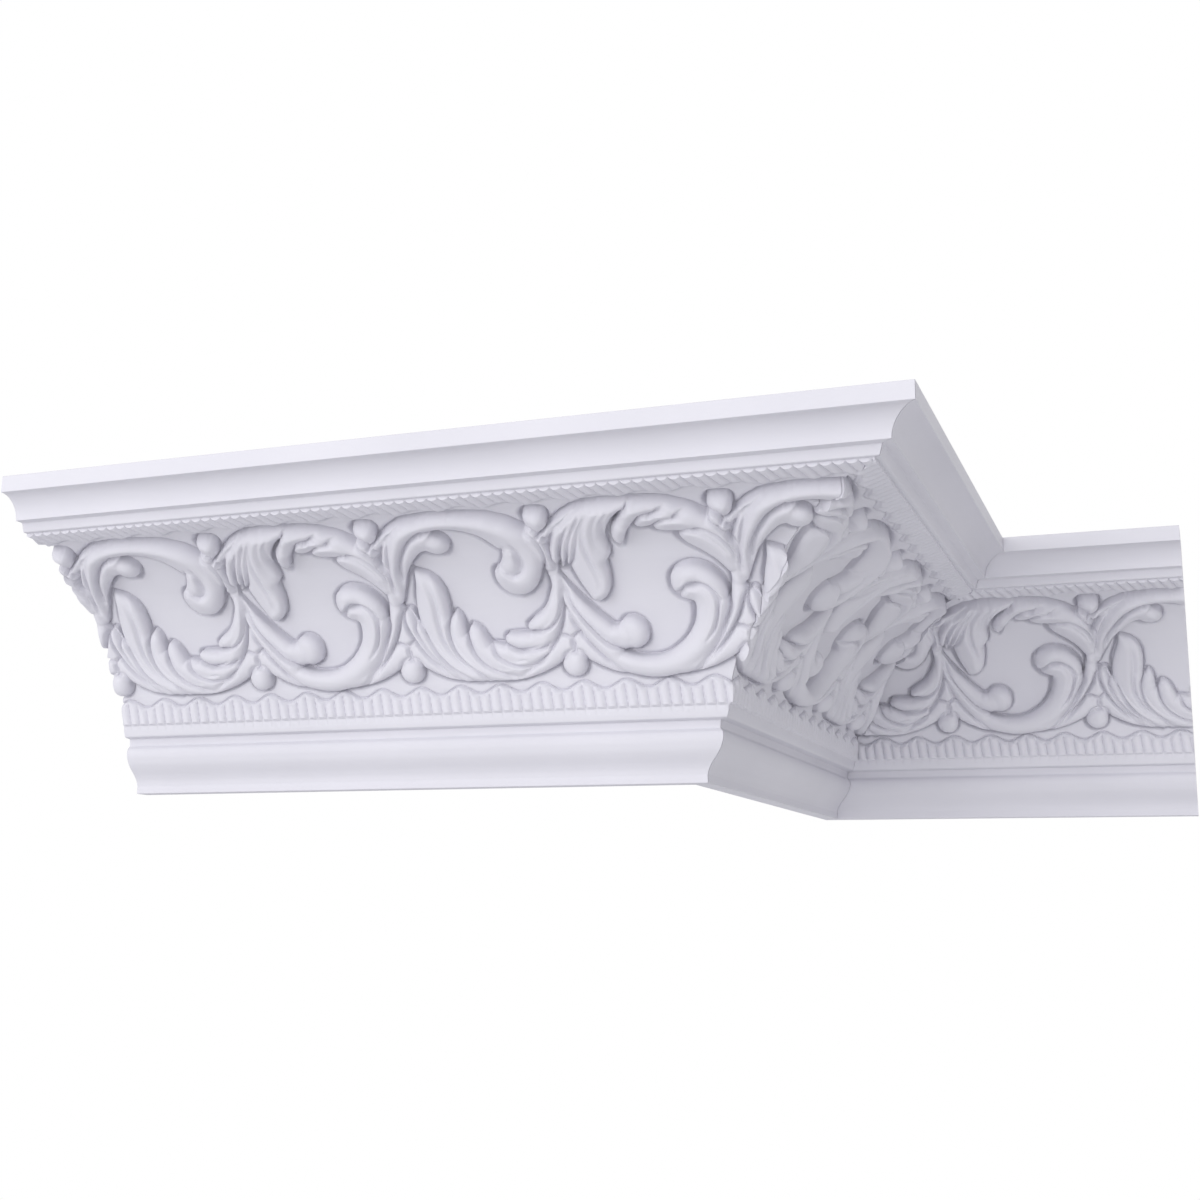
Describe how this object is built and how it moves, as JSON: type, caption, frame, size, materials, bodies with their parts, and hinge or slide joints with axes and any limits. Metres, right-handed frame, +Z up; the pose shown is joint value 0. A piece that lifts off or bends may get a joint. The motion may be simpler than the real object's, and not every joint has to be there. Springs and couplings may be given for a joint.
{
  "type": "crown moulding",
  "caption": "White crown moulding with scrolling acanthus on a hollow face, mitred round an outer and an inner corner, cut square at both ends.",
  "frame": {"origin": "middle of the front length's flat against the wall, at mount front_wall", "axes": "+X along the front length from its square end towards the outer corner, +Y into the wall behind the front length, +Z up to the ceiling"},
  "size_m": [0.6446, 0.4921, 0.175],
  "materials": {
    "moulding_white": "smooth matte white primer"
  },
  "bodies": {
    "root": {"front_length": "moulding_white", "return_length": "moulding_white", "rear_length": "moulding_white"}
  },
  "joints": []
}
